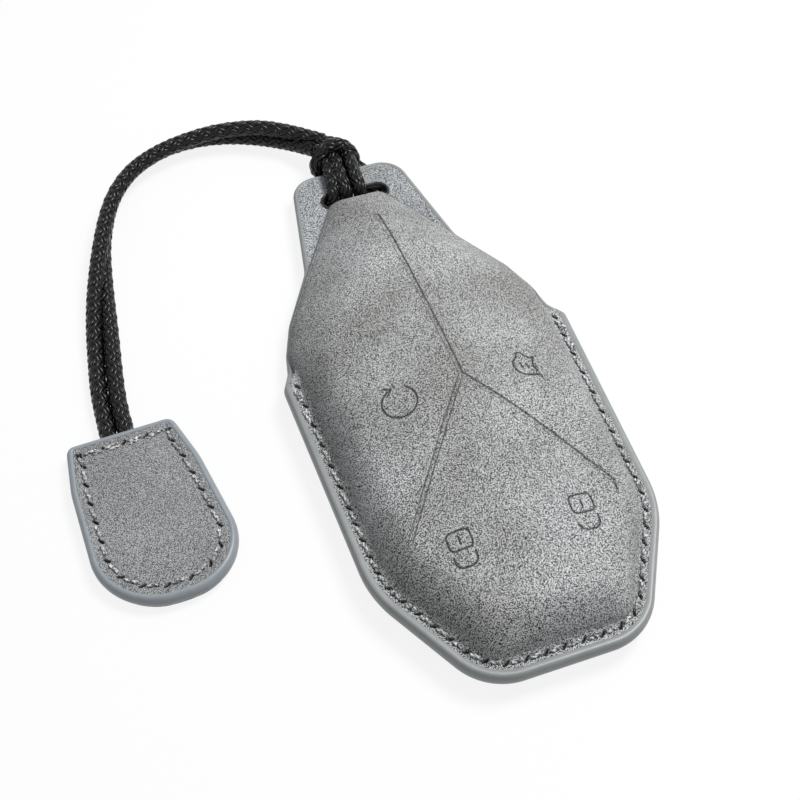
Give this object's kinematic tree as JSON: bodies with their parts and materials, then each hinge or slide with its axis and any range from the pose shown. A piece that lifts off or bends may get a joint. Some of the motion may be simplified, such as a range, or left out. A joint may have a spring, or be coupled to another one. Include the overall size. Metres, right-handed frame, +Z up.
{
  "type": "key fob cover",
  "caption": "Domed stitched leather cover for a car key with a mouth that lifts open, and a leather tag on a doubled waxed cord knotted through its tab.",
  "frame": {"origin": "middle of the cover's outline, without the lanyard, on the surface that its back rests on", "axes": "+X across the cover, +Y along it towards the tab, +Z up from the back to the domed front"},
  "size_m": [0.0944, 0.1404, 0.0178],
  "materials": {
    "front_leather": "mottled grey nubuck",
    "back_leather": "mottled grey nubuck",
    "tab_leather": "mottled grey nubuck",
    "lining": "brushed microfibre",
    "edge_paint": "smooth satin edge paint",
    "seam_thread": "bonded thread",
    "waxed_cord": "waxed braid",
    "tag_leather": "mottled grey nubuck",
    "tag_stiffener": "plain board"
  },
  "bodies": {
    "pouch": {"front_panel": "front_leather", "front_lining": "lining", "back_panel": "back_leather", "back_lining": "tab_leather", "seam_edge_coat": "edge_paint", "tab_edge_coat": "edge_paint", "slot_edge_coat": "edge_paint", "seam_top_thread": "seam_thread", "seam_bobbin_thread": "seam_thread", "loop_strand_left": "waxed_cord", "loop_strand_right": "waxed_cord"},
    "mouth_lip": {"front_lip": "front_leather", "front_lip_lining": "lining", "lip_edge_coat": "edge_paint"},
    "knot": {"lanyard_knot": "waxed_cord"},
    "lanyard": {"cord_strand_outer": "waxed_cord", "cord_strand_inner": "waxed_cord"},
    "tag": {"tag_front": "tag_leather", "tag_back": "tag_leather", "tag_core": "tag_stiffener", "tag_edge_coat": "edge_paint", "tag_top_thread": "seam_thread", "tag_bobbin_thread": "seam_thread", "cord_tails": "waxed_cord"}
  },
  "joints": [
    {"name": "mouth_lift", "type": "hinge", "parent": "pouch", "child": "mouth_lip", "pos_m": [0, 0.00785, 0.01685], "axis": [1, 0, 0], "range_deg": [0, 32], "stiffness_Nm_per_rad": 0.05},
    {"name": "lanyard_lift", "type": "hinge", "parent": "pouch", "child": "knot", "pos_m": [0.0005, 0.0635, 0.0052], "axis": [-0.7071, 0.7071, 0], "range_deg": [0, 95]},
    {"name": "lanyard_swing", "type": "hinge", "parent": "knot", "child": "lanyard", "pos_m": [0.0005, 0.0635, 0.0052], "axis": [0, 0, 1], "range_deg": [-75, 8]},
    {"name": "tag_swing", "type": "hinge", "parent": "lanyard", "child": "tag", "pos_m": [-0.05775, 0.01035, 0.0017], "axis": [-0.9976, -0.0698, 0], "range_deg": [0, 90]}
  ]
}
